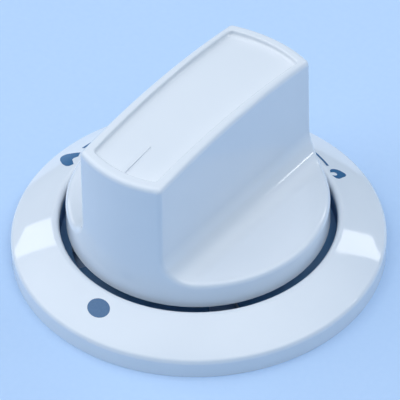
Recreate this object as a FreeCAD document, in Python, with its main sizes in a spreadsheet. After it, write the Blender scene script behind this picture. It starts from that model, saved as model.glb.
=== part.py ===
"""Oven control knob that turns and pushes in inside its own dial ring.

The knob is one hollow moulding: a round base, two scooped sides, and a crowned blade to grip.
It slides and turns in the sleeve of the dial ring, a return spring lifts it off the panel,
and a steel leaf in its socket grips the flat of the spindle.

Frame: the origin is the centre of the ring's underside, +Z points away from the panel along
the spindle, and the pointer end of the blade faces -Y. All lengths are in millimetres.
"""
import FreeCAD, Part
import math
import os
import re
import Sketcher

# Driving sizes: name, value, meaning
SIZES = [
    ("skirt_radius", 24.34, "lower edge of the knob's round base"),
    ("skirt_height", 7.4, "height of that edge above the panel"),
    ("skirt_draft", 0.8, "taper of the base and the blade ends, degrees"),
    ("scoop_floor", 12.6, "height of the shelf beside the blade"),
    ("scoop_round", 5.3, "hollow radius between shelf and blade"),
    ("blade_width", 18.3, "thickness of the grip blade"),
    ("crown_height", 35.9, "highest point of the blade"),
    ("crown_radius", 150.0, "curve of the blade's top along its length"),
    ("blade_edge_round", 1.1, "rounding of blade corners, top edge and shelf rim"),
    ("cut_margin", 1.2, "overrun of cutting shapes past the blank"),
    ("side_rim", 2.1, "raised rim beside the recess, at the pointer end"),
    ("far_side_rim", 1.55, "raised rim beside the recess, at the far end"),
    ("end_rim", 2.2, "raised rim before the recess, both ends"),
    ("recess_depth", 1.0, "depth of the recess in the blade's top"),
    ("recess_corner", 0.9, "corner radius of the recess"),
    ("recess_rim_round", 0.35, "rounding of the rim's inner edge"),
    ("recess_foot_round", 0.6, "hollow rounding at the foot of the rim"),
    ("pointer_width", 1.0, "width of the pointer rib"),
    ("pointer_length", 8.0, "length of the pointer rib from the rim"),
    ("pointer_rise", 0.4, "height of the pointer rib at the rim"),
    ("pointer_tip_rise", 0.15, "height of the pointer rib at its inner end"),
    ("knob_wall", 2.0, "wall of the knob moulding"),
    ("deck_thick", 2.1, "thickness of the shelf"),
    ("roof_thick", 2.2, "least thickness under the recess"),
    ("long_rib", 1.6, "rib along the inside of the blade"),
    ("spindle_radius", 4.0, "spindle of the control behind the panel"),
    ("spindle_clearance", 0.05, "radial play of the spindle in its socket"),
    ("mouth_clearance", 0.3, "radial play of the spindle at the socket's mouth"),
    ("flat_depth", 1.5, "depth of the flat on the spindle"),
    ("socket_depth", 19.0, "depth of the spindle socket"),
    ("lead_in", 6.0, "round length at the socket's mouth"),
    ("hub_wall", 3.4, "wall of the hub round the spindle"),
    ("barb_catch", 0.8, "reach of the snap barbs beyond the hub"),
    ("barb_height", 1.2, "height of the snap barbs"),
    ("barb_lead", 0.7, "sloped part of a barb"),
    ("slot_width", 1.2, "slots that let the barbs spring inwards"),
    ("slot_height", 5.0, "height of those slots"),
    ("push_travel", 3.0, "stroke of the knob towards the panel"),
    ("foot_gap", 0.4, "room under the hub and the sleeve at full stroke"),
    ("push_gap", 0.5, "room above the sleeve at full stroke"),
    ("stop_gap", 0.05, "play between barbs and ledge at rest"),
    ("guide_clearance", 0.08, "radial play of the hub in the sleeve"),
    ("chamber_clearance", 0.4, "radial room round the barbs"),
    ("running_gap", 1.26, "open gap between knob and ring"),
    ("ring_width", 9.14, "ring from its lip to its rim"),
    ("rim_height", 3.56, "corner height of the ring's outer wall"),
    ("rim_round", 1.1, "rounding of that corner"),
    ("lip_height", 8.4, "corner height of the ring's inner lip"),
    ("lip_round", 1.0, "rounding of that lip"),
    ("dial_radius", 55.0, "swell of the sloping dial face"),
    ("ring_wall", 2.0, "wall of the ring moulding"),
    ("collar_wall", 1.8, "wall under the lip"),
    ("web_gap", 0.8, "web of the ring above the panel"),
    ("web_thick", 1.8, "thickness of that web"),
    ("sleeve_wall", 1.5, "wall of the sleeve round the barbs"),
    ("window_ledge", 2.0, "web left outside the windows"),
    ("window_angle", 16.0, "width of each window, degrees"),
    ("window_place", 51.0, "first window from the pointer, degrees"),
    ("window_count", 4, "windows in the web"),
    ("ring_rib", 1.2, "ribs under the dial face"),
    ("ring_rib_foot", 1.0, "ribs above the panel"),
    ("ring_rib_count", 12, "number of those ribs"),
    ("wire_diameter", 0.9, "wire of the return spring"),
    ("spring_turns", 3.5, "turns of the return spring"),
    ("spring_gap", 0.4, "room between sleeve and spring"),
    ("seat_gap", 0.05, "film at the spring and washer seats"),
    ("washer_thick", 0.8, "thrust washer between spring and knob"),
    ("washer_width", 2.1, "width of the thrust washer"),
    ("washer_gap", 0.35, "room between sleeve and washer"),
    ("spring_seat", 1.5, "web left inside the windows"),
    ("clip_thick", 0.5, "steel leaf in the socket"),
    ("clip_width", 4.0, "width of the leaf"),
    ("clip_length", 10.0, "length of the leaf"),
    ("clip_bow", 0.3, "bow of the leaf towards the spindle"),
    ("clip_room", 0.9, "room for the leaf behind the flat"),
    ("clip_seat", 0.02, "film behind the leaf"),
    ("clip_rise", 0.6, "leaf above the round lead-in"),
]

# Heights and radii that follow from the driving sizes
DERIVED = {
    "blade_half": "blade_width / 2",
    "blank_top": "crown_height + cut_margin",
    "blank_top_radius": "skirt_radius - (blank_top - skirt_height) * tan(skirt_draft)",
    "blade_end": "skirt_radius - (crown_height - skirt_height) * tan(skirt_draft)",
    "cut_reach": "skirt_radius + cut_margin",
    "crown_edge": "crown_height - crown_radius + sqrt(crown_radius ^ 2 - cut_reach ^ 2)",
    "floor_height": "crown_height - recess_depth",
    "floor_radius": "crown_radius - recess_depth",
    "floor_edge": "floor_height - floor_radius + sqrt(floor_radius ^ 2 - cut_reach ^ 2)",
    "recess_half": "blade_half - side_rim",
    "recess_end": "blade_end - end_rim",
    "recess_turn": "sqrt(recess_end ^ 2 - recess_half ^ 2)",
    "far_half": "blade_half - far_side_rim",
    "far_turn": "sqrt(recess_end ^ 2 - far_half ^ 2)",
    "rim_step": "recess_depth - max(pointer_rise; recess_foot_round)",
    "rim_inner_round": "min(recess_rim_round; 0.9 * rim_step)",
    "pointer_tip": "recess_end - pointer_length",
    "pointer_foot_top": "floor_height - recess_end ^ 2 / (2 * floor_radius) + pointer_rise",
    "pointer_tip_top": "floor_height - pointer_tip ^ 2 / (2 * floor_radius) + pointer_tip_rise",
    "inner_radius": "skirt_radius - knob_wall",
    "cavity_half": "blade_half - knob_wall",
    "cavity_turn": "sqrt(inner_radius ^ 2 - cavity_half ^ 2)",
    "roof": "floor_height - recess_end ^ 2 / (2 * floor_radius) - roof_thick",
    "deck_under": "scoop_floor - deck_thick",
    "hub_radius": "spindle_radius + hub_wall",
    "hub_foot": "push_travel + foot_gap",
    "barb_radius": "hub_radius + barb_catch",
    "barb_top": "hub_foot + barb_height",
    "bore_radius": "spindle_radius + spindle_clearance",
    "mouth_radius": "spindle_radius + mouth_clearance",
    "flat_place": "spindle_radius - flat_depth + clip_room",
    "flat_half": "sqrt(bore_radius ^ 2 - flat_place ^ 2)",
    "lip_radius": "skirt_radius + running_gap",
    "ring_radius": "lip_radius + ring_width",
    "dial_rise": "lip_height - rim_height",
    "dial_slope": "dial_rise / ring_width",
    "dial_chord": "sqrt(ring_width ^ 2 + dial_rise ^ 2)",
    "dial_reach": "sqrt(dial_radius ^ 2 - dial_chord ^ 2 / 4)",
    "dial_across": "(ring_radius + lip_radius) / 2 - dial_reach * dial_rise / dial_chord",
    "dial_up": "(rim_height + lip_height) / 2 - dial_reach * ring_width / dial_chord",
    "rim_across": "ring_radius - rim_round - dial_across",
    "rim_up": "sqrt((dial_radius - rim_round) ^ 2 - rim_across ^ 2)",
    "rim_share": "dial_radius / (dial_radius - rim_round)",
    "lip_across": "lip_radius + lip_round - dial_across",
    "lip_up": "sqrt((dial_radius - lip_round) ^ 2 - lip_across ^ 2)",
    "lip_share": "dial_radius / (dial_radius - lip_round)",
    "shell_drop": "ring_wall * sqrt(1 + dial_slope ^ 2)",
    "rim_inside": "ring_radius - ring_wall",
    "collar_outside": "lip_radius + collar_wall",
    "rim_under": "rim_height + ring_wall * dial_slope - shell_drop",
    "collar_under": "rim_height + (ring_width - collar_wall) * dial_slope - shell_drop",
    "web_top": "web_gap + web_thick",
    "guide_radius": "hub_radius + guide_clearance",
    "ledge": "barb_top + stop_gap",
    "chamber_radius": "barb_radius + chamber_clearance",
    "sleeve_radius": "chamber_radius + sleeve_wall",
    "sleeve_top": "deck_under - push_travel - push_gap",
    "washer_inner": "sleeve_radius + washer_gap",
    "washer_outer": "washer_inner + washer_width",
    "washer_under": "deck_under - seat_gap - washer_thick",
    "window_inner": "washer_outer + spring_seat",
    "window_outer": "lip_radius - window_ledge",
    "coil_radius": "sleeve_radius + spring_gap + wire_diameter / 2",
    "coil_foot": "web_top + seat_gap + wire_diameter / 2",
    "coil_height": "washer_under - seat_gap - wire_diameter / 2 - coil_foot",
    "clip_back": "flat_place - clip_seat",
    "clip_front": "clip_back - clip_thick",
    "clip_foot": "hub_foot + lead_in + clip_rise",
    "clip_head": "clip_foot + clip_length",
    "clip_curve": "(clip_length ^ 2 / 4 + clip_bow ^ 2) / (2 * clip_bow)",
}

# Facets that stand for the round wire of the spring
WIRE_SIDES = 8
# Tolerance for telling where a point lies
NEAR = 0.01

doc = FreeCAD.newDocument("control_knob")


def make_sheet():
    """Put every driving size in a named cell."""
    sheet = doc.addObject("Spreadsheet::Sheet", "Sizes")
    for row, (name, size, meaning) in enumerate(SIZES, start=1):
        sheet.set(f"A{row}", name)
        sheet.set(f"B{row}", str(size))
        sheet.set(f"C{row}", meaning)
        sheet.setAlias(f"B{row}", name)
    doc.recompute()
    return sheet


SHEET = make_sheet()
SIZE_NAMES = {name for name, size, meaning in SIZES}


def formula(text):
    """Write out plain size names as references to the cells of the sheet."""
    def reference(match):
        word = match.group(0)
        if word in DERIVED:
            return f"({formula(DERIVED[word])})"
        return f"Sizes.{word}" if word in SIZE_NAMES else word

    return re.sub(r"[a-z_]+", reference, text)


def number(text):
    """Value of a formula at the sheet's present sizes."""
    return float(SHEET.evalExpression(formula(text)))


def bind(item, **properties):
    """Tie properties of an object to formulas of the driving sizes."""
    for name, text in properties.items():
        item.setExpression(name.replace("__", "."), formula(text))


def origin_item(body, role):
    """One of the body's own origin planes or axes."""
    return next(item for item in body.Origin.OriginFeatures if item.Role == role)


def new_body(name):
    """Empty body whose label is the name of the sub-part."""
    body = doc.addObject("PartDesign::Body", name)
    body.Label = name
    return body


def new_sketch(body, name, plane, lift="0"):
    """Sketch on an origin plane of its body, lifted along the plane's normal."""
    sketch = body.newObject("Sketcher::SketchObject", name)
    sketch.AttachmentSupport = (origin_item(body, plane), [""])
    sketch.MapMode = "FlatFace"
    bind(sketch, AttachmentOffset__Base__z=lift)
    return sketch


def arc_between(start, end, radius):
    """Minor arc from start to end, turning left for a positive radius."""
    chord = end - start
    middle = (start + end) * 0.5
    left = FreeCAD.Vector(-chord.y, chord.x, 0).normalize()
    rise = math.sqrt(radius ** 2 - (chord.Length / 2) ** 2)
    center = middle + left * math.copysign(rise, radius)
    first, last = (start, end) if radius > 0 else (end, start)
    angles = [math.atan2(point.y - center.y, point.x - center.x) for point in (first, last)]
    circle = Part.Circle(center, FreeCAD.Vector(0, 0, 1), abs(radius))
    return Part.ArcOfCircle(circle, angles[0], angles[1])


def tie(sketch, kind, elements, text):
    """Add a constraint whose value follows a formula."""
    index = sketch.addConstraint(Sketcher.Constraint(kind, *elements, number(text)))
    sketch.setExpression(f"Constraints[{index}]", formula(text))


def draw_outline(sketch, corners):
    """Closed outline through corners given as formulas (across, up).

    A third formula makes the edge that leaves the corner an arc of that radius, which turns
    left where it is positive and right where it is negative.
    """
    points = [FreeCAD.Vector(number(corner[0]), number(corner[1]), 0) for corner in corners]
    first_edge = sketch.GeometryCount
    starts = []
    ends = []
    for place, corner in enumerate(corners):
        start = points[place]
        end = points[(place + 1) % len(points)]
        radius = number(corner[2]) if len(corner) == 3 else 0
        edge = arc_between(start, end, radius) if radius else Part.LineSegment(start, end)
        sketch.addGeometry(edge)
        starts.append(2 if radius < 0 else 1)
        ends.append(1 if radius < 0 else 2)
    for place, corner in enumerate(corners):
        edge = first_edge + place
        before = (place - 1) % len(corners)
        joint = Sketcher.Constraint("Coincident", first_edge + before, ends[before], edge, starts[place])
        sketch.addConstraint(joint)
        tie(sketch, "DistanceX", (-1, 1, edge, starts[place]), corner[0])
        tie(sketch, "DistanceY", (-1, 1, edge, starts[place]), corner[1])
        if len(corner) == 3:
            tie(sketch, "Radius", (edge,), corner[2].lstrip("-"))


def draw_circle(sketch, radius):
    """Circle about the knob's axis."""
    circle = Part.Circle(FreeCAD.Vector(0, 0, 0), FreeCAD.Vector(0, 0, 1), number(radius))
    edge = sketch.addGeometry(circle)
    sketch.addConstraint(Sketcher.Constraint("Coincident", edge, 3, -1, 1))
    tie(sketch, "Radius", (edge,), radius)


def add_feature(body, kind, sketch, length=None, sides="One side", upwards=True):
    """Pad, Pocket or Revolution of a sketch; a length is a formula."""
    feature = body.newObject(f"PartDesign::{kind}", f"{sketch.Name}_{kind.lower()}")
    feature.Profile = sketch
    if kind == "Revolution":
        feature.ReferenceAxis = (sketch, ["V_Axis"])
        feature.Angle = 360
    else:
        feature.SideType = sides
        feature.Reversed = upwards if kind == "Pocket" else not upwards
        bind(feature, Length=length)
    doc.recompute()
    volume = feature.BaseFeature.Shape.Volume if feature.BaseFeature else 0
    check(feature, abs(feature.Shape.Volume - volume) > NEAR)
    return feature


def check(item, changed=True):
    """Stop if an object failed, is not a sound shape, or changed nothing."""
    failed = {"Invalid", "Error"} & set(item.State)
    sound = not item.Shape.isNull() and item.Shape.isValid()
    if failed or not sound or not changed:
        raise RuntimeError(f"{item.Name} did not build: {item.State}")


def add_round(body, name, radius, chosen):
    """Fillet the edges of the body whose middle point passes the test."""
    base = body.Tip
    names = []
    for place, edge in enumerate(base.Shape.Edges, start=1):
        middle = edge.valueAt((edge.FirstParameter + edge.LastParameter) / 2)
        if chosen(middle):
            names.append(f"Edge{place}")
    fillet = body.newObject("PartDesign::Fillet", name)
    fillet.Base = (base, names)
    bind(fillet, Radius=radius)
    doc.recompute()
    check(fillet)
    return fillet


def repeat_round(body, name, feature, count):
    """Repeat a feature evenly round the axis."""
    pattern = body.newObject("PartDesign::PolarPattern", name)
    pattern.Originals = [feature]
    pattern.Axis = (origin_item(body, "Z_Axis"), [""])
    pattern.Angle = 360
    bind(pattern, Occurrences=count)
    body.Tip = pattern
    doc.recompute()
    check(pattern)
    return pattern


def cone_radius(height):
    """Radius of the knob's tapered outside at a height."""
    rise = height - number("skirt_height")
    return number("skirt_radius") - rise * math.tan(math.radians(number("skirt_draft")))


def on_crown(point):
    """On the crowned top of the blade."""
    curve = number("crown_radius")
    height = number("crown_height") - curve + math.sqrt(curve ** 2 - point.y ** 2)
    return abs(point.z - height) < NEAR


def on_scoop_edge(point):
    """Blade corners and shelf rim: on the tapered outside, from the shelf up."""
    away = abs(math.hypot(point.x, point.y) - cone_radius(point.z))
    return away < NEAR and point.z > number("scoop_floor") - NEAR


def on_recess_floor(point):
    """On the crowned floor of the recess."""
    curve = number("floor_radius")
    height = number("floor_height") - curve + math.sqrt(curve ** 2 - point.y ** 2)
    return abs(point.z - height) < NEAR


def at_recess_corner(point):
    """On one of the four upright edges where the recess's sides meet its ends."""
    away = [abs(abs(point.x) - number(half)) for half in ("recess_half", "far_half")]
    return min(away) < NEAR and abs(math.hypot(point.x, point.y) - number("recess_end")) < NEAR


def in_recess(point):
    """Within the raised rim, seen from above."""
    inside_side = abs(point.x) < max(number("recess_half"), number("far_half")) + NEAR
    return inside_side and math.hypot(point.x, point.y) < number("recess_end") + NEAR


def make_recess_core():
    """Solid form of the recess in the blade's top, less the pointer rib."""
    body = new_body("recess_core")
    outline = new_sketch(body, "recess_outline", "XY_Plane", "floor_edge")
    draw_outline(outline, [
        ("recess_half", "-recess_turn"),
        ("far_half", "far_turn", "recess_end"),
        ("-far_half", "far_turn"),
        ("-recess_half", "-recess_turn", "recess_end"),
    ])
    add_feature(body, "Pad", outline, "blank_top - floor_edge")
    add_round(body, "recess_corners", "recess_corner", at_recess_corner)
    floor = new_sketch(body, "recess_floor", "YZ_Plane")
    draw_outline(floor, [
        ("cut_reach", "floor_edge - recess_depth"),
        ("cut_reach", "floor_edge", "floor_radius"),
        ("-cut_reach", "floor_edge"),
        ("-cut_reach", "floor_edge - recess_depth"),
    ])
    add_feature(body, "Pocket", floor, "2 * blade_width", "Symmetric")
    add_round(body, "recess_foot", "recess_foot_round", on_recess_floor)
    pointer = new_sketch(body, "pointer_side", "YZ_Plane")
    draw_outline(pointer, [
        ("-cut_reach", "floor_edge - recess_depth"),
        ("-pointer_tip", "floor_edge - recess_depth"),
        ("-pointer_tip", "pointer_tip_top"),
        ("-recess_end", "pointer_foot_top"),
        ("-cut_reach", "pointer_foot_top"),
    ])
    add_feature(body, "Pocket", pointer, "pointer_width", "Symmetric")
    return body


def shape_outside(body):
    """Tapered blank, two scooped sides and the crowned, recessed top."""
    blank = new_sketch(body, "blank", "XZ_Plane")
    draw_outline(blank, [
        ("0", "skirt_height"),
        ("skirt_radius", "skirt_height"),
        ("blank_top_radius", "blank_top"),
        ("0", "blank_top"),
    ])
    add_feature(body, "Revolution", blank)
    scoop = new_sketch(body, "scoop", "XZ_Plane")
    draw_outline(scoop, [
        ("blade_half", "blank_top + knob_wall"),
        ("blade_half", "scoop_floor + scoop_round", "scoop_round"),
        ("blade_half + scoop_round", "scoop_floor"),
        ("cut_reach", "scoop_floor"),
        ("cut_reach", "blank_top + knob_wall"),
    ])
    pocket = add_feature(body, "Pocket", scoop, "2 * cut_reach", "Symmetric")
    other_side = body.newObject("PartDesign::Mirrored", "other_scoop")
    other_side.Originals = [pocket]
    other_side.MirrorPlane = (origin_item(body, "YZ_Plane"), [""])
    body.Tip = other_side
    doc.recompute()
    check(other_side)
    crown = new_sketch(body, "crown", "YZ_Plane")
    draw_outline(crown, [
        ("cut_reach", "crown_edge"),
        ("cut_reach", "blank_top + knob_wall"),
        ("-cut_reach", "blank_top + knob_wall"),
        ("-cut_reach", "crown_edge", "-crown_radius"),
    ])
    add_feature(body, "Pocket", crown, "2 * blade_width", "Symmetric")
    add_round(body, "blade_edges", "blade_edge_round",
              lambda point: on_scoop_edge(point) or on_crown(point))
    recess = body.newObject("PartDesign::Boolean", "recess")
    recess.Type = "Cut"
    recess.Group = [make_recess_core()]
    doc.recompute()
    check(recess)
    add_round(body, "recess_rim", "rim_inner_round",
              lambda point: on_crown(point) and in_recess(point))


def hollow_inside(body):
    """Hollow base and blade, open towards the panel."""
    base = new_sketch(body, "base_hollow", "XY_Plane", "skirt_height")
    draw_circle(base, "inner_radius")
    add_feature(body, "Pocket", base, "deck_under - skirt_height")
    blade = new_sketch(body, "blade_hollow", "XY_Plane", "skirt_height")
    draw_outline(blade, [
        ("cavity_half", "-cavity_turn"),
        ("cavity_half", "cavity_turn", "inner_radius"),
        ("-cavity_half", "cavity_turn"),
        ("-cavity_half", "-cavity_turn", "inner_radius"),
    ])
    add_feature(body, "Pocket", blade, "roof - skirt_height")
    rib = new_sketch(body, "long_rib_plan", "XY_Plane", "deck_under")
    draw_outline(rib, [
        ("long_rib / 2", "-inner_radius"),
        ("long_rib / 2", "inner_radius"),
        ("-long_rib / 2", "inner_radius"),
        ("-long_rib / 2", "-inner_radius"),
    ])
    add_feature(body, "Pad", rib, "roof - deck_under")


def make_hub(body):
    """Hub with snap barbs, a round lead-in and a socket with one flat side."""
    hub = new_sketch(body, "hub", "XY_Plane", "hub_foot")
    draw_circle(hub, "hub_radius")
    add_feature(body, "Pad", hub, "roof - hub_foot")
    barb = new_sketch(body, "barb", "XZ_Plane")
    draw_outline(barb, [
        ("bore_radius", "hub_foot"),
        ("hub_radius", "hub_foot"),
        ("barb_radius", "hub_foot + barb_lead"),
        ("barb_radius", "barb_top"),
        ("bore_radius", "barb_top"),
    ])
    add_feature(body, "Revolution", barb)
    socket = new_sketch(body, "socket", "XY_Plane", "hub_foot")
    draw_outline(socket, [
        ("flat_half", "flat_place"),
        ("-flat_half", "flat_place", "bore_radius"),
        ("0", "-bore_radius", "bore_radius"),
    ])
    add_feature(body, "Pocket", socket, "socket_depth")
    mouth = new_sketch(body, "socket_mouth", "XY_Plane", "hub_foot")
    draw_circle(mouth, "mouth_radius")
    add_feature(body, "Pocket", mouth, "lead_in")
    reach = "(barb_radius + cut_margin)"
    half = "slot_width / 2"
    for name, across, along in (("slot_x", reach, half), ("slot_y", half, reach)):
        slot = new_sketch(body, name, "XY_Plane", "hub_foot")
        draw_outline(slot, [
            (across, f"-{along}"),
            (across, along),
            (f"-{across}", along),
            (f"-{across}", f"-{along}"),
        ])
        add_feature(body, "Pocket", slot, "slot_height")


def make_knob_body():
    """The whole knob moulding."""
    body = new_body("knob_body")
    shape_outside(body)
    hollow_inside(body)
    make_hub(body)
    return body


def make_dial_ring():
    """Dial ring: sloping face, lip, windowed web and the sleeve that guides the hub."""
    body = new_body("dial_ring")
    section = new_sketch(body, "ring_section", "XZ_Plane")
    draw_outline(section, [
        ("ring_radius", "0"),
        ("ring_radius", "dial_up + rim_up", "rim_round"),
        ("dial_across + rim_across * rim_share", "dial_up + rim_up * rim_share", "dial_radius"),
        ("dial_across + lip_across * lip_share", "dial_up + lip_up * lip_share", "lip_round"),
        ("lip_radius", "dial_up + lip_up"),
        ("lip_radius", "web_top"),
        ("sleeve_radius", "web_top"),
        ("sleeve_radius", "sleeve_top"),
        ("guide_radius", "sleeve_top"),
        ("guide_radius", "ledge"),
        ("chamber_radius", "ledge"),
        ("chamber_radius", "foot_gap"),
        ("sleeve_radius", "foot_gap"),
        ("sleeve_radius", "web_gap"),
        ("lip_radius", "web_gap"),
        ("lip_radius", "0"),
        ("collar_outside", "0"),
        ("collar_outside", "collar_under"),
        ("rim_inside", "rim_under"),
        ("rim_inside", "0"),
    ])
    add_feature(body, "Revolution", section)
    rib = new_sketch(body, "ring_rib_side", "XZ_Plane")
    draw_outline(rib, [
        ("collar_outside - collar_wall / 2", "ring_rib_foot"),
        ("rim_inside + ring_wall / 2", "ring_rib_foot"),
        ("rim_inside + ring_wall / 2", "rim_under"),
        ("rim_inside", "rim_under + shell_drop / 2"),
        ("collar_outside", "collar_under + shell_drop / 2"),
        ("collar_outside - collar_wall / 2", "collar_under"),
    ])
    rib_pad = add_feature(body, "Pad", rib, "ring_rib", "Symmetric")
    repeat_round(body, "ring_ribs", rib_pad, "ring_rib_count")
    window = new_sketch(body, "window", "XY_Plane")
    first = "(window_place - window_angle / 2)"
    last = "(window_place + window_angle / 2)"
    draw_outline(window, [
        (f"window_outer * sin({first})", f"-window_outer * cos({first})", "window_outer"),
        (f"window_outer * sin({last})", f"-window_outer * cos({last})"),
        (f"window_inner * sin({last})", f"-window_inner * cos({last})", "-window_inner"),
        (f"window_inner * sin({first})", f"-window_inner * cos({first})"),
    ])
    cut = add_feature(body, "Pocket", window, "2 * (web_top + web_gap)", "Symmetric")
    repeat_round(body, "windows", cut, "window_count")
    return body


def make_return_spring():
    """Coil spring round the sleeve; each half turn is a half circle tilted by the pitch."""
    half_turns = round(2 * number("spring_turns"))
    radius = number("coil_radius")
    rise = number("coil_height") / half_turns
    reach = math.hypot(radius, rise / 2)
    arcs = []
    for turn in range(half_turns):
        side = -1 if turn % 2 else 1
        low = number("coil_foot") + turn * rise
        start = FreeCAD.Vector(side * radius, 0, low)
        middle = FreeCAD.Vector(0, side * reach, low + rise / 2)
        end = FreeCAD.Vector(-side * radius, 0, low + rise)
        arcs.append(Part.Arc(start, middle, end).toShape())
    line = doc.addObject("Part::Feature", "coil_line")
    line.Shape = Part.Wire(arcs)
    wire = doc.addObject("Part::RegularPolygon", "wire_section")
    wire.Polygon = WIRE_SIDES
    wire.Placement.Rotation = FreeCAD.Rotation(FreeCAD.Vector(1, 0, 0), 90)
    bind(wire, Circumradius="wire_diameter / 2")
    bind(wire, Placement__Base__x="coil_radius", Placement__Base__z="coil_foot")
    spring = doc.addObject("Part::Sweep", "return_spring")
    spring.Label = "return_spring"
    spring.Sections = [wire]
    spring.Spine = (line, [f"Edge{turn + 1}" for turn in range(half_turns)])
    spring.Solid = True
    spring.Frenet = True
    return spring


def make_thrust_washer():
    """Flat washer that lets the knob turn on the spring."""
    disc = doc.addObject("Part::Cylinder", "washer_disc")
    hole = doc.addObject("Part::Cylinder", "washer_hole")
    bind(disc, Radius="washer_outer", Height="washer_thick", Placement__Base__z="washer_under")
    bind(hole, Radius="washer_inner", Height="washer_thick", Placement__Base__z="washer_under")
    washer = doc.addObject("Part::Cut", "thrust_washer")
    washer.Label = "thrust_washer"
    washer.Base = disc
    washer.Tool = hole
    return washer


def make_shaft_clip():
    """Bowed steel leaf that presses on the flat of the spindle."""
    body = new_body("shaft_clip")
    side = new_sketch(body, "clip_side", "YZ_Plane")
    draw_outline(side, [
        ("clip_back", "clip_foot", "-clip_curve"),
        ("clip_back", "clip_head"),
        ("clip_front", "clip_head", "clip_curve + clip_thick"),
        ("clip_front", "clip_foot"),
    ])
    add_feature(body, "Pad", side, "clip_width", "Symmetric")
    return body


def write_parts(parts):
    """Check every object of the document, then write one file for each sub-part."""
    doc.recompute()
    for item in doc.Objects:
        if {"Invalid", "Error"} & set(item.State):
            raise RuntimeError(f"{item.Name} failed: {item.State}")
    for part in parts:
        check(part)
    os.makedirs("parts", exist_ok=True)
    for part in parts:
        part.Shape.exportStep(f"parts/{part.Label}.step")
        print(part.Label, "solids", len(part.Shape.Solids), "volume", round(part.Shape.Volume, 1))


write_parts([
    make_knob_body(),
    make_dial_ring(),
    make_return_spring(),
    make_thrust_washer(),
    make_shaft_clip(),
])
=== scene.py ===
# %% [markdown]
# # Oven control knob in its dial ring
# The mouldings, the spring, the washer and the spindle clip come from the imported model, in metres,
# with the centre of the ring's underside at the origin and +Z pointing away from the panel.
# This lesson gives them their finishes, prints the dial marks and winds a round-wire spring.

# %% Load the frame
import math

import bpy
from mathutils import Matrix, Quaternion, Vector


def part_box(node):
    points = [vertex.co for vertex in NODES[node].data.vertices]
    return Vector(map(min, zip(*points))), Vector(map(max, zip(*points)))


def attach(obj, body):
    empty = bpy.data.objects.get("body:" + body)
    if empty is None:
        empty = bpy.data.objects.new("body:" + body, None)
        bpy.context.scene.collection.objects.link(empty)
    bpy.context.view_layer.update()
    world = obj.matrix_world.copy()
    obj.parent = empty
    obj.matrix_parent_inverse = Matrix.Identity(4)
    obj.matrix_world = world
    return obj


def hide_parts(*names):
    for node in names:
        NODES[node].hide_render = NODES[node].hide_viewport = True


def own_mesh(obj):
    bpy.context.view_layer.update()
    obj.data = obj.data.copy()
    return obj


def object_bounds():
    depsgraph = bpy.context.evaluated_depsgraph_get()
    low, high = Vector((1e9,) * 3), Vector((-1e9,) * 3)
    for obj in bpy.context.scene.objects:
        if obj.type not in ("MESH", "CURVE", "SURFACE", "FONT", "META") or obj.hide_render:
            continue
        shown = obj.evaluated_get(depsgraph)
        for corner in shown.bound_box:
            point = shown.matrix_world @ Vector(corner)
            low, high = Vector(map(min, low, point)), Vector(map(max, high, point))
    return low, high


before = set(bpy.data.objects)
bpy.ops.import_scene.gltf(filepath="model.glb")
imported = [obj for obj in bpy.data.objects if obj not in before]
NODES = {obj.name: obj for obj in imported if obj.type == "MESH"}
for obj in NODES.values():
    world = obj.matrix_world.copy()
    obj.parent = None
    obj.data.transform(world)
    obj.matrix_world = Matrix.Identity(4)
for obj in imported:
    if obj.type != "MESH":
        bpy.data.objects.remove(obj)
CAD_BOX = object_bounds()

MM = 0.001
print("nodes", sorted(NODES), "box", [tuple(corner) for corner in CAD_BOX])

# %% [markdown]
# ## Small helpers
# Operators act on whatever is selected, and the loaded nodes arrive selected, so every step starts
# by clearing the selection. Colours are picked as sRGB hex values, which is how a colour picker shows
# them, and one function turns them into the linear values that shader sockets expect.

# %% Helpers for selection, colour and nodes
def select_only(*items):
    """Make these objects the whole selection, the first one active."""
    bpy.ops.object.select_all(action="DESELECT")
    for item in items:
        item.select_set(True)
    bpy.context.view_layer.objects.active = items[0]


def linear(hex_colour):
    """Linear RGBA of an sRGB hex colour such as #FFFFFF."""
    shares = [int(hex_colour[place:place + 2], 16) / 255 for place in (1, 3, 5)]
    return [s / 12.92 if s <= 0.04045 else ((s + 0.055) / 1.055) ** 2.4 for s in shares] + [1.0]


def add_node(tree, kind, settings=(), links=()):
    """Add one node, set its sockets or properties by name, and feed sockets from other nodes."""
    node = tree.nodes.new(kind)
    for name, value in dict(settings).items():
        if name in node.inputs:
            node.inputs[name].default_value = value
        else:
            setattr(node, name, value)
    for name, output in dict(links).items():
        tree.links.new(output, node.inputs[name])
    return node


def new_material(name):
    """Empty node material; returns it with its node tree and its object coordinates."""
    material = bpy.data.materials.new(name)
    material.use_nodes = True
    material.node_tree.nodes.clear()
    coordinates = add_node(material.node_tree, "ShaderNodeTexCoord").outputs["Object"]
    return material, material.node_tree, coordinates


def close_material(tree, shader):
    """Send a shader to the surface."""
    add_node(tree, "ShaderNodeOutputMaterial", links={"Surface": shader.outputs["BSDF"]})


def per_metre(size_mm):
    """Texture scale at which one feature of a pattern is about this many millimetres wide."""
    return 1 / (size_mm * MM)
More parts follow.
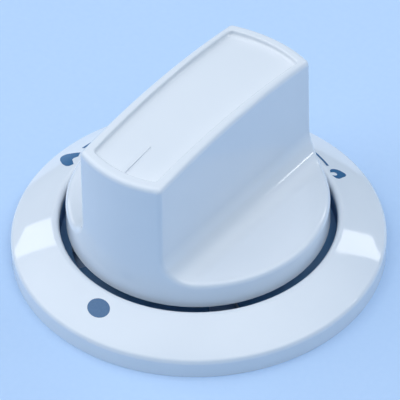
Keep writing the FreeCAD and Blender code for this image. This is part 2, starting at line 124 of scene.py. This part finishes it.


# %% [markdown]
# ## Gloss white moulded plastic
# The knob and its ring are injection moulded in white ABS from polished tools. Such a surface is
# nearly mirror smooth, so lamps show in it with crisp edges. Two things keep it from looking like
# paint: a slow waviness where the melt shrank as it cooled, and a faint haze that comes and goes.
# A plain colour would miss both, so a broad noise drives haze and tint and a finer one the waviness.
# The running gap lies deep in shade, painted into the colour as a dull blue-grey on the ring's web and
# wall.
# It could be a material of its own on those faces, but the ring is one mesh that stays as it is, so
# the painted shade is mixed in by distance from the spindle and height above the panel, with denser
# patches.

# %% White ABS
ABS_WHITE = "#EEF0F3"
ABS_SHADE = "#E9ECF0"
ABS_IOR = 1.53
ABS_ROUGHNESS = (0.05, 0.09)
HAZE_MM = 11.0
WAVE_MM = 2.6
WAVE_DEPTH_MM = 0.0012
# Painted shade of the running gap: a blue-grey that is mixed into the white where the gap lies in shade
GAP_SHADE_BLUE_GREY = "#6498C8"
GAP_DULL_ROUGHNESS = 0.75
GAP_SHADE_PATCH_MM = 9.0
# The painted shade's share goes from the first value to the second as its noise goes between these limits
GAP_SHADE_SHARE = (0.90, 0.99)
GAP_SHADE_NOISE = (0.3, 0.6)
# Each edge of the painted shade: the lengths at which it has faded out and at which it is full
GAP_SHADE_INNER_MM = (16.5, 17.5)
GAP_SHADE_OUTER_MM = (25.9, 25.7)
GAP_SHADE_FOOT_MM = (1.8, 2.3)
GAP_SHADE_HEAD_MM = (6.35, 6.1)


def fade_in(tree, length, edge_mm):
    """Factor that goes smoothly from 0 at the first length of an edge to 1 at the second one."""
    fade = add_node(tree, "ShaderNodeMapRange",
                    {"interpolation_type": "SMOOTHSTEP", "From Min": edge_mm[0] * MM,
                     "From Max": edge_mm[1] * MM}, {"Value": length})
    return fade.outputs["Result"]


def multiply(tree, first, second):
    """Product of two factors."""
    product = add_node(tree, "ShaderNodeMath", {"operation": "MULTIPLY"})
    tree.links.new(first, product.inputs[0])
    tree.links.new(second, product.inputs[1])
    return product.outputs["Value"]


def painted_gap_shade(tree, coordinates):
    """Share of painted shade at each point: patchy inside the running gap, none outside it."""
    flat = add_node(tree, "ShaderNodeVectorMath", {"operation": "MULTIPLY"})
    tree.links.new(coordinates, flat.inputs[0])
    flat.inputs[1].default_value = (1, 1, 0)
    radius = add_node(tree, "ShaderNodeVectorMath", {"operation": "LENGTH"},
                      {"Vector": flat.outputs["Vector"]})
    height = add_node(tree, "ShaderNodeSeparateXYZ", links={"Vector": coordinates})
    patches = add_node(tree, "ShaderNodeTexNoise", {"Scale": per_metre(GAP_SHADE_PATCH_MM), "Detail": 1.0},
                       {"Vector": coordinates})
    density = add_node(tree, "ShaderNodeMapRange",
                       {"From Min": GAP_SHADE_NOISE[0], "From Max": GAP_SHADE_NOISE[1],
                        "To Min": GAP_SHADE_SHARE[0], "To Max": GAP_SHADE_SHARE[1]},
                       {"Value": patches.outputs["Fac"]})
    share = density.outputs["Result"]
    for edge_mm in (GAP_SHADE_INNER_MM, GAP_SHADE_OUTER_MM):
        share = multiply(tree, share, fade_in(tree, radius.outputs["Value"], edge_mm))
    for edge_mm in (GAP_SHADE_FOOT_MM, GAP_SHADE_HEAD_MM):
        share = multiply(tree, share, fade_in(tree, height.outputs["Z"], edge_mm))
    return share


def white_abs():
    """White ABS, moulded and glossy: a clear mirror layer over an even, cool white, with painted shade in
    the running gap, where it is dull.
    """
    material, tree, coordinates = new_material("white_abs_gloss")
    haze = add_node(tree, "ShaderNodeTexNoise", {"Scale": per_metre(HAZE_MM), "Detail": 3.0},
                    {"Vector": coordinates})
    tint = add_node(tree, "ShaderNodeMixRGB", {"Color1": linear(ABS_WHITE), "Color2": linear(ABS_SHADE)},
                    {"Fac": haze.outputs["Fac"]})
    # film is the share of painted shade in the running gap, which mixes the blue-grey into the white below
    film = painted_gap_shade(tree, coordinates)
    shaded_tint = add_node(tree, "ShaderNodeMixRGB", {"Color2": linear(GAP_SHADE_BLUE_GREY)},
                      {"Fac": film, "Color1": tint.outputs["Color"]})
    gloss = add_node(tree, "ShaderNodeMapRange", {"To Min": ABS_ROUGHNESS[0], "To Max": ABS_ROUGHNESS[1]},
                     {"Value": haze.outputs["Fac"]})
    roughness = add_node(tree, "ShaderNodeMix", {"B": GAP_DULL_ROUGHNESS},
                         {"Factor": film, "A": gloss.outputs["Result"]})
    wave = add_node(tree, "ShaderNodeTexNoise", {"Scale": per_metre(WAVE_MM), "Detail": 1.0},
                    {"Vector": coordinates})
    bump = add_node(tree, "ShaderNodeBump", {"Strength": 1.0, "Distance": WAVE_DEPTH_MM * MM},
                    {"Height": wave.outputs["Fac"]})
    shader = add_node(tree, "ShaderNodeBsdfPrincipled", {"IOR": ABS_IOR},
                      {"Base Color": shaded_tint.outputs["Color"], "Roughness": roughness.outputs["Result"],
                       "Normal": bump.outputs["Normal"]})
    close_material(tree, shader)
    return material


WHITE = white_abs()
print("white plastic", WHITE.name)

# %% [markdown]
# ## Printed marks
# The dial marks are pad printed: a soft pad lays a film of slate-blue ink a few hundredths of a
# millimetre thick. The film is a little duller than the plastic and not quite even. One flat colour
# would look like a sticker, so a fine noise varies its density and lifts its surface a little.

# %% Pad-print ink
INK_BLUE = "#3A648C"
INK_THIN = "#47729A"
INK_IOR = 1.48
INK_ROUGHNESS = 0.22
INK_GRAIN_MM = 0.35
INK_DEPTH_MM = 0.002


def print_ink():
    """Pad-printing ink, slate blue: an even film with a satin surface and a fine grain."""
    material, tree, coordinates = new_material("pad_print_ink")
    grain = add_node(tree, "ShaderNodeTexNoise", {"Scale": per_metre(INK_GRAIN_MM), "Detail": 2.0},
                     {"Vector": coordinates})
    film = add_node(tree, "ShaderNodeMixRGB", {"Color1": linear(INK_BLUE), "Color2": linear(INK_THIN)},
                    {"Fac": grain.outputs["Fac"]})
    bump = add_node(tree, "ShaderNodeBump", {"Strength": 1.0, "Distance": INK_DEPTH_MM * MM},
                    {"Height": grain.outputs["Fac"]})
    shader = add_node(tree, "ShaderNodeBsdfPrincipled", {"IOR": INK_IOR, "Roughness": INK_ROUGHNESS},
                      {"Base Color": film.outputs["Color"], "Normal": bump.outputs["Normal"]})
    close_material(tree, shader)
    return material


INK = print_ink()
print("ink", INK.name)

# %% [markdown]
# ## Spring steel and acetal
# The coil and the leaf in the socket are drawn spring steel: bright, with fine marks left by the die.
# The thrust washer is natural acetal, an off-white bearing plastic with a waxy, half-matt face. They
# sit in shadow, where a painted texture would be wasted, so one noise for each gives enough variation.

# %% Steel and acetal
STEEL_BRIGHT = "#B4B7BC"
STEEL_DULL = "#8F9399"
STEEL_ROUGHNESS = (0.22, 0.40)
DIE_MARK_MM = 0.4
ACETAL_PALE = "#EDEAE0"
ACETAL_WARM = "#E3DFD2"
ACETAL_IOR = 1.48
ACETAL_ROUGHNESS = 0.38
ACETAL_GRAIN_MM = 1.5


def spring_steel():
    """Drawn spring steel: bright metal with dull patches from the die."""
    material, tree, coordinates = new_material("drawn_spring_steel")
    marks = add_node(tree, "ShaderNodeTexNoise", {"Scale": per_metre(DIE_MARK_MM), "Detail": 3.0},
                     {"Vector": coordinates})
    tone = add_node(tree, "ShaderNodeMixRGB",
                    {"Color1": linear(STEEL_BRIGHT), "Color2": linear(STEEL_DULL)},
                    {"Fac": marks.outputs["Fac"]})
    gloss = add_node(tree, "ShaderNodeMapRange",
                     {"To Min": STEEL_ROUGHNESS[0], "To Max": STEEL_ROUGHNESS[1]},
                     {"Value": marks.outputs["Fac"]})
    shader = add_node(tree, "ShaderNodeBsdfPrincipled", {"Metallic": 1.0},
                      {"Base Color": tone.outputs["Color"], "Roughness": gloss.outputs["Result"]})
    close_material(tree, shader)
    return material


def natural_acetal():
    """Natural acetal, turned: off-white, waxy and half matt."""
    material, tree, coordinates = new_material("natural_acetal")
    grain = add_node(tree, "ShaderNodeTexNoise", {"Scale": per_metre(ACETAL_GRAIN_MM), "Detail": 2.0},
                     {"Vector": coordinates})
    tone = add_node(tree, "ShaderNodeMixRGB",
                    {"Color1": linear(ACETAL_PALE), "Color2": linear(ACETAL_WARM)},
                    {"Fac": grain.outputs["Fac"]})
    shader = add_node(tree, "ShaderNodeBsdfPrincipled", {"IOR": ACETAL_IOR, "Roughness": ACETAL_ROUGHNESS},
                      {"Base Color": tone.outputs["Color"]})
    close_material(tree, shader)
    return material


STEEL = spring_steel()
ACETAL = natural_acetal()
print("steel and acetal", STEEL.name, ACETAL.name)

# %% [markdown]
# ## Finish of the loaded pieces
# The mouldings, the washer and the clip already have their true shape, so they keep it and only get a
# finish. The loaded spring gets one too, though a rounder one takes its place further on.

# %% Dress the loaded pieces
def dress(node, material):
    """Give a loaded piece one material."""
    slots = NODES[node].data.materials
    slots.clear()
    slots.append(material)


for node, material in (("knob_body", WHITE), ("dial_ring", WHITE), ("return_spring", STEEL),
                       ("thrust_washer", ACETAL), ("shaft_clip", STEEL)):
    dress(node, material)
    print("dressed", node, "in", material.name)

# %% [markdown]
# ## Dial marks
# The dial carries an off dot, a large flame a quarter turn on, a small flame past the half turn, and a
# thin taper that joins the flames. They could be painted by the ring's material, but pieces of their
# own keep crisp edges and take a slot of their own. Each mark is drawn flat, cut into a fine grid so
# that it can bend, dropped onto the sloping dial with Shrinkwrap, and given the thickness of an ink
# film with Solidify. Angles run clockwise from the pointer as the cook sees them.

# %% Laying a flat mark on the dial
INK_FILM_MM = 0.05
INK_LIFT_MM = 0.03
GRID_MM = 0.5
ABOVE_DIAL_MM = 12.0


def cut_grid(piece, low, high):
    """Cut the flat piece by evenly spaced planes across X and Y between two bounds in metres."""
    step = GRID_MM * MM
    bpy.ops.object.mode_set(mode="EDIT")
    for axis in ((1, 0, 0), (0, 1, 0)):
        for place in range(1, int((high - low) / step)):
            cut = Vector(axis) * (low + place * step)
            bpy.ops.mesh.select_all(action="SELECT")
            bpy.ops.mesh.bisect(plane_co=cut, plane_no=axis)
    bpy.ops.object.mode_set(mode="OBJECT")


def lay_on_dial(piece):
    """Drop a flat mark onto the dial ring, thicken it to a film of ink and fix it to the ring."""
    select_only(piece)
    wrap = piece.modifiers.new("drop", "SHRINKWRAP")
    wrap.target = NODES["dial_ring"]
    wrap.wrap_method = "PROJECT"
    wrap.use_project_z = True
    wrap.use_negative_direction = True
    wrap.use_positive_direction = False
    wrap.offset = INK_LIFT_MM * MM
    bpy.ops.object.modifier_apply(modifier=wrap.name)
    film = piece.modifiers.new("film", "SOLIDIFY")
    film.thickness = INK_FILM_MM * MM
    film.offset = -1.0
    bpy.ops.object.modifier_apply(modifier=film.name)
    piece.data.materials.clear()
    piece.data.materials.append(INK)
    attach(piece, "ring")
    low_z = min(vertex.co.z for vertex in piece.data.vertices)
    print("mark", piece.name, "faces", len(piece.data.polygons), "lowest", round(low_z / MM, 2), "mm")


def place_mark(piece, clockwise, radius_mm):
    """Carry a flat mark from the origin to its place, its own -Y pointing away from the spindle."""
    turn = -math.radians(clockwise)
    spot = Vector((0, -radius_mm * MM, ABOVE_DIAL_MM * MM))
    piece.matrix_world = Matrix.Rotation(turn, 4, "Z") @ Matrix.Translation(spot)
    select_only(piece)
    bpy.ops.object.transform_apply(location=True, rotation=True, scale=True)


# %% [markdown]
# The off mark is a printed oval, wider along the dial than across it. It could be drawn as a curve, but
# a filled circle that is pressed flat in one direction gives the same oval in two steps.

# %% Off dot
DOT_WIDE_MM = 4.6
DOT_DEEP_MM = 3.2
DOT_CLOCKWISE = 0.0
DOT_RADIUS_MM = 29.5
DOT_SIDES = 64

bpy.ops.object.select_all(action="DESELECT")
bpy.ops.mesh.primitive_circle_add(vertices=DOT_SIDES, radius=DOT_WIDE_MM / 2 * MM, fill_type="NGON")
off_dot = bpy.context.object
off_dot.name = "off_dot"
off_dot.scale.y = DOT_DEEP_MM / DOT_WIDE_MM
bpy.ops.object.transform_apply(scale=True)
cut_grid(off_dot, -DOT_WIDE_MM / 2 * MM, DOT_WIDE_MM / 2 * MM)
place_mark(off_dot, DOT_CLOCKWISE, DOT_RADIUS_MM)
lay_on_dial(off_dot)

# %% [markdown]
# Both flames have a round foot towards the rim and two tips towards the knob. A Bezier circle gets as
# many points as the outline has, the points are pulled to their places, and the filled curve is turned
# into a mesh. Cutting them out of a grid of faces would leave steps, while a curve stays smooth with
# few points. The small flame curls in more than the large one.

# %% Flames
# Points of each flame in millimetres: across the dial clockwise, and inwards from its foot.
# A sharp point has straight handles, the others are smooth.
LARGE_POINTS = [
    (0.30, 0.10, "smooth"),
    (1.30, -0.35, "smooth"),
    (1.95, 0.00, "smooth"),
    (2.40, 1.50, "smooth"),
    (2.65, 3.20, "sharp"),
    (1.25, 3.70, "sharp"),
    (0.45, 3.05, "smooth"),
    (-0.45, 3.70, "smooth"),
    (-1.30, 4.55, "sharp"),
    (-1.95, 3.80, "smooth"),
    (-1.60, 2.40, "smooth"),
    (-0.70, 1.10, "smooth"),
]
SMALL_POINTS = [
    (-0.05, -0.05, "smooth"),
    (-0.95, 0.35, "smooth"),
    (-1.60, 1.60, "smooth"),
    (-1.25, 2.60, "smooth"),
    (-0.40, 3.00, "sharp"),
    (-0.45, 2.00, "smooth"),
    (0.00, 1.80, "smooth"),
    (0.45, 2.20, "smooth"),
    (0.50, 3.00, "sharp"),
    (1.35, 2.40, "smooth"),
    (0.90, 1.05, "smooth"),
]
LARGE_CLOCKWISE = 87.4
LARGE_FOOT_MM = 32.0
SMALL_CLOCKWISE = 208.9
SMALL_FOOT_MM = 29.95
CURVE_STEPS = 8


def draw_flame(name, points):
    """Flat flame with its foot near the origin, filled and cut into a grid."""
    bpy.ops.object.select_all(action="DESELECT")
    bpy.ops.curve.primitive_bezier_circle_add(radius=MM)
    flame = bpy.context.object
    flame.name = name
    flame.data.dimensions = "2D"
    flame.data.fill_mode = "BOTH"
    flame.data.resolution_u = CURVE_STEPS
    spline = flame.data.splines[0]
    spline.bezier_points.add(len(points) - len(spline.bezier_points))
    for point, (across, inwards, kind) in zip(spline.bezier_points, points):
        point.co = (-across * MM, inwards * MM, 0)
        handle = "AUTO" if kind == "smooth" else "VECTOR"
        point.handle_left_type = handle
        point.handle_right_type = handle
    select_only(flame)
    bpy.ops.object.convert(target="MESH")
    reach = max(inwards for _, inwards, _ in points) * MM
    cut_grid(flame, -reach, reach)
    return flame


large_flame = draw_flame("large_flame", LARGE_POINTS)
place_mark(large_flame, LARGE_CLOCKWISE, LARGE_FOOT_MM)
lay_on_dial(large_flame)
small_flame = draw_flame("small_flame", SMALL_POINTS)
place_mark(small_flame, SMALL_CLOCKWISE, SMALL_FOOT_MM)
lay_on_dial(small_flame)

# %% [markdown]
# The taper is a ribbon spun round the spindle from one flame to the other. It starts as one edge of a
# small plane, which Spin sweeps into an arc of even width. Then each step of the arc is drawn in and
# narrowed by its share of the way round. A curve would need many points to stay as round as that.

# %% Taper between the flames
TAPER_FROM = 95.1
TAPER_TO = 203.0
TAPER_RADIUS_MM = (29.65, 27.55)
TAPER_WIDTH_MM = (0.60, 0.42)
TAPER_STEPS = 110


def between(ends, share):
    """Value at a share of the way from the first end to the last."""
    return ends[0] + (ends[1] - ends[0]) * share


def spin_ribbon():
    """Flat arc of even width that starts below the spindle and runs clockwise."""
    bpy.ops.object.select_all(action="DESELECT")
    start = (0, -TAPER_RADIUS_MM[0] * MM, 0)
    bpy.ops.mesh.primitive_plane_add(size=TAPER_WIDTH_MM[0] * MM, location=start)
    ribbon = bpy.context.object
    ribbon.name = "heat_taper"
    bpy.ops.object.transform_apply(location=True)
    bpy.ops.object.mode_set(mode="EDIT")
    bpy.ops.mesh.select_all(action="DESELECT")
    bpy.ops.object.mode_set(mode="OBJECT")
    for vertex in ribbon.data.vertices:
        vertex.select = vertex.co.x > 0
    bpy.ops.object.mode_set(mode="EDIT")
    bpy.ops.mesh.delete(type="VERT")
    bpy.ops.mesh.select_all(action="SELECT")
    sweep = math.radians(TAPER_TO - TAPER_FROM)
    bpy.ops.mesh.spin(steps=TAPER_STEPS, angle=sweep, center=(0, 0, 0), axis=(0, 0, 1))
    bpy.ops.mesh.select_all(action="SELECT")
    bpy.ops.mesh.normals_make_consistent(inside=False)
    bpy.ops.object.mode_set(mode="OBJECT")
    return ribbon


def narrow_ribbon(ribbon):
    """Draw the ribbon in and narrow it along its arc, which turns it into a taper."""
    for vertex in ribbon.data.vertices:
        reach = vertex.co.to_2d().length
        clockwise = math.degrees(math.atan2(-vertex.co.x, -vertex.co.y)) % 360
        share = clockwise / (TAPER_TO - TAPER_FROM)
        side = math.copysign(0.5, reach - TAPER_RADIUS_MM[0] * MM)
        target = between(TAPER_RADIUS_MM, share) + side * between(TAPER_WIDTH_MM, share)
        vertex.co *= target * MM / reach


heat_taper = spin_ribbon()
narrow_ribbon(heat_taper)
place_mark(heat_taper, TAPER_FROM, 0)
lay_on_dial(heat_taper)

# %% [markdown]
# ## Return spring
# The loaded coil has eight-sided wire. The real one is round, and light from below shows it through
# the windows of the web, so it is wound again: a circle of wire, carried round the spindle by the
# Screw modifier in half turns, with its two cut ends closed. A bevelled curve would do as well, but it
# needs a point for every step. Pushing the knob shortens the spring.

# %% Round-wire spring
WIRE_MM = 0.9
WIRE_SIDES = 16
HALF_TURNS = 7
STEPS_PER_HALF_TURN = 24
SMOOTH_BELOW_ANGLE = 50
WELD_SHARE = 0.01


def wind_spring(low, high):
    """Coil of round wire that fills the loaded spring's box."""
    wire = WIRE_MM / 2 * MM
    coil = high.x - wire
    foot = low.z + wire
    bpy.ops.object.select_all(action="DESELECT")
    bpy.ops.mesh.primitive_circle_add(vertices=WIRE_SIDES, radius=wire, location=(coil, 0, foot),
                                      rotation=(math.pi / 2, 0, 0))
    spring = bpy.context.object
    spring.name = "round_wire_spring"
    bpy.ops.object.transform_apply(location=True, rotation=True)
    screw = spring.modifiers.new("wind", "SCREW")
    screw.axis = "Z"
    screw.angle = math.pi
    screw.iterations = HALF_TURNS
    screw.screw_offset = (high.z - low.z - 2 * wire) / HALF_TURNS
    screw.steps = STEPS_PER_HALF_TURN
    screw.render_steps = STEPS_PER_HALF_TURN
    bpy.ops.object.modifier_apply(modifier=screw.name)
    bpy.ops.object.mode_set(mode="EDIT")
    bpy.ops.mesh.select_all(action="SELECT")
    bpy.ops.mesh.remove_doubles(threshold=wire * WELD_SHARE)
    bpy.ops.mesh.fill_holes(sides=0)
    bpy.ops.mesh.select_all(action="SELECT")
    bpy.ops.mesh.normals_make_consistent(inside=False)
    bpy.ops.object.mode_set(mode="OBJECT")
    bpy.ops.object.shade_smooth_by_angle(angle=math.radians(SMOOTH_BELOW_ANGLE))
    return spring


SPRING_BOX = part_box("return_spring")
round_wire_spring = wind_spring(*SPRING_BOX)
round_wire_spring.data.materials.append(STEEL)
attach(round_wire_spring, "ring")
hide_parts("return_spring")
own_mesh(round_wire_spring)

# %% [markdown]
# ## Floor
# The knob stands on a sheet of pale, matt card. It is one large plane a hair below the ring, so that
# the two don't share a face, with the faint cloud of paper fibres instead of a flat colour.

# %% Floor
FLOOR_SIZE = 6.0
FLOOR_BELOW = 0.00002
CARD_PALE = "#C0D8F5"
CARD_DEEP = "#BAD4F3"
CARD_IOR = 1.4
CARD_ROUGHNESS = 0.85
CARD_GRAIN_MM = 1.2


def pale_card():
    """Uncoated paper card, pale blue and matt, with the faint cloud of its fibres."""
    material, tree, coordinates = new_material("pale_card")
    fibres = add_node(tree, "ShaderNodeTexNoise", {"Scale": per_metre(CARD_GRAIN_MM), "Detail": 2.0},
                      {"Vector": coordinates})
    tone = add_node(tree, "ShaderNodeMixRGB", {"Color1": linear(CARD_PALE), "Color2": linear(CARD_DEEP)},
                    {"Fac": fibres.outputs["Fac"]})
    shader = add_node(tree, "ShaderNodeBsdfPrincipled", {"Roughness": CARD_ROUGHNESS, "IOR": CARD_IOR},
                      {"Base Color": tone.outputs["Color"]})
    close_material(tree, shader)
    return material


bpy.ops.object.select_all(action="DESELECT")
bpy.ops.mesh.primitive_plane_add(size=FLOOR_SIZE, location=(0, 0, CAD_BOX[0].z - FLOOR_BELOW))
floor = bpy.context.object
floor.name = "floor"
floor.data.materials.append(pale_card())
print("floor at", floor.location.z)

# %% [markdown]
# ## Light
# Glossy white plastic mirrors whatever stands round it, and the edge of a wide lamp would cross the
# dial as a hard line. So the knob sits in a light tent: a dim blue room with three white glows that
# fade out smoothly. Two small soft boxes behind the knob give the bright patches on the ring, and a
# still smaller one gives the thin bright line in the hollow of the right shelf. Faces that the glows
# miss see mostly the room, so they come out bluer.

# %% Light
LAMP_DISTANCE = 0.6
LAMP_WHITE = "#FFFFFF"
ROOM_BLUE = "#00B4FF"
ROOM_STRENGTH = 0.225
# Azimuth, elevation and reach of each glow on the tent in degrees, and its brightness in the middle
TENT_GLOWS = [
    (299.0, 48.0, 45.0, 1.80),
    (128.0, 65.0, 42.0, 1.32),
    (68.0, 65.0, 42.0, 0.85),
]
# Name, azimuth, elevation and twist of the lamp in degrees, width and height in metres, brightness
SOFT_BOXES = [
    ("left_box", 262.5, 26.2, 19.0, 0.12, 0.165, 2.8),
    ("right_box", 168.5, 31.0, -13.6, 0.097, 0.165, 4.0),
    ("strip_box", 135.5, 30.0, -23.8, 0.036, 0.036, 9.0),
]


def outwards(azimuth, elevation):
    """Unit vector from the knob towards a viewer at that azimuth and elevation, in degrees."""
    around, up = math.radians(azimuth), math.radians(elevation)
    return Vector((math.sin(around) * math.cos(up), -math.cos(around) * math.cos(up), math.sin(up)))


def add_glow(tree, sky, azimuth, elevation, reach, brightness):
    """White glow on the tent that fades smoothly to nothing at its reach; returns its shader."""
    nearness = add_node(tree, "ShaderNodeVectorMath", {"operation": "DOT_PRODUCT"})
    tree.links.new(sky, nearness.inputs[0])
    nearness.inputs[1].default_value = outwards(azimuth, elevation)
    fade = add_node(tree, "ShaderNodeMapRange",
                    {"interpolation_type": "SMOOTHSTEP", "From Min": math.cos(math.radians(reach)),
                     "From Max": 1.0, "To Min": 0.0, "To Max": brightness},
                    {"Value": nearness.outputs["Value"]})
    return add_node(tree, "ShaderNodeBackground", {"Color": linear(LAMP_WHITE)},
                    {"Strength": fade.outputs["Result"]})


def light_tent():
    """World with a dim blue room and the white glows of a light tent."""
    tent = bpy.data.worlds.new("light_tent")
    tent.use_nodes = True
    tree = tent.node_tree
    tree.nodes.clear()
    sky = add_node(tree, "ShaderNodeTexCoord").outputs["Generated"]
    light = add_node(tree, "ShaderNodeBackground",
                     {"Color": linear(ROOM_BLUE), "Strength": ROOM_STRENGTH}).outputs["Background"]
    for glow_values in TENT_GLOWS:
        glow = add_glow(tree, sky, *glow_values)
        both = add_node(tree, "ShaderNodeAddShader")
        tree.links.new(light, both.inputs[0])
        tree.links.new(glow.outputs["Background"], both.inputs[1])
        light = both.outputs["Shader"]
    add_node(tree, "ShaderNodeOutputWorld", links={"Surface": light})
    return tent


def hang_soft_box(name, azimuth, elevation, twist, width, height, brightness):
    """Rectangular soft box that faces the knob, twisted in its own plane; its front has that brightness."""
    direction = outwards(azimuth, elevation)
    bpy.ops.object.light_add(type="AREA", location=direction * LAMP_DISTANCE)
    lamp = bpy.context.object
    lamp.name = name
    facing = direction.to_track_quat("Z", "Y") @ Quaternion((0, 0, 1), math.radians(twist))
    lamp.rotation_euler = facing.to_euler()
    lamp.data.shape = "RECTANGLE"
    lamp.data.size = width
    lamp.data.size_y = height
    lamp.data.color = linear(LAMP_WHITE)[:3]
    lamp.data.energy = brightness * math.pi * width * height
    print("soft box", name, "watts", round(lamp.data.energy, 2))


bpy.context.scene.world = light_tent()
for soft_box in SOFT_BOXES:
    hang_soft_box(*soft_box)
bpy.context.scene.view_settings.view_transform = "Standard"

# %% [markdown]
# ## Camera
# The camera stands at the pointer's right, well above the dial, with a long lens from 0.8 m away. It
# leans clockwise by a little over a degree and aims a little above the middle of the ring. It could be
# aimed by a constraint, but a matrix made from the line of sight keeps the lean in the same step.

# %% Camera
CAMERA_AZIMUTH = 38.45
CAMERA_ELEVATION = 42.664
CAMERA_LEAN = 1.291
CAMERA_DISTANCE = 0.8
CAMERA_NEAR_CLIP = 0.008
CAMERA_LENS_MM = 388.8
AIM_RIGHT_MM = 0.39
AIM_UP_MM = 8.44


def aim_camera():
    """Camera with a long lens, rolled by its lean about the line of sight."""
    back = outwards(CAMERA_AZIMUTH, CAMERA_ELEVATION)
    right = Vector((0, 0, 1)).cross(back).normalized()
    up = back.cross(right)
    place = back * CAMERA_DISTANCE
    aim = (right * AIM_RIGHT_MM + up * AIM_UP_MM) * MM
    line = (place - aim).normalized()
    level = Vector((0, 0, 1)).cross(line).normalized()
    upright = line.cross(level)
    lean = Matrix.Rotation(-math.radians(CAMERA_LEAN), 4, line)
    axes = Matrix((level, upright, line)).transposed().to_4x4()
    bpy.ops.object.camera_add()
    camera = bpy.context.object
    camera.data.lens = CAMERA_LENS_MM
    camera.data.clip_start = CAMERA_NEAR_CLIP
    camera.matrix_world = Matrix.Translation(place) @ lean @ axes
    return camera


bpy.context.scene.camera = aim_camera()
print("camera at", [round(value, 4) for value in bpy.context.scene.camera.location])
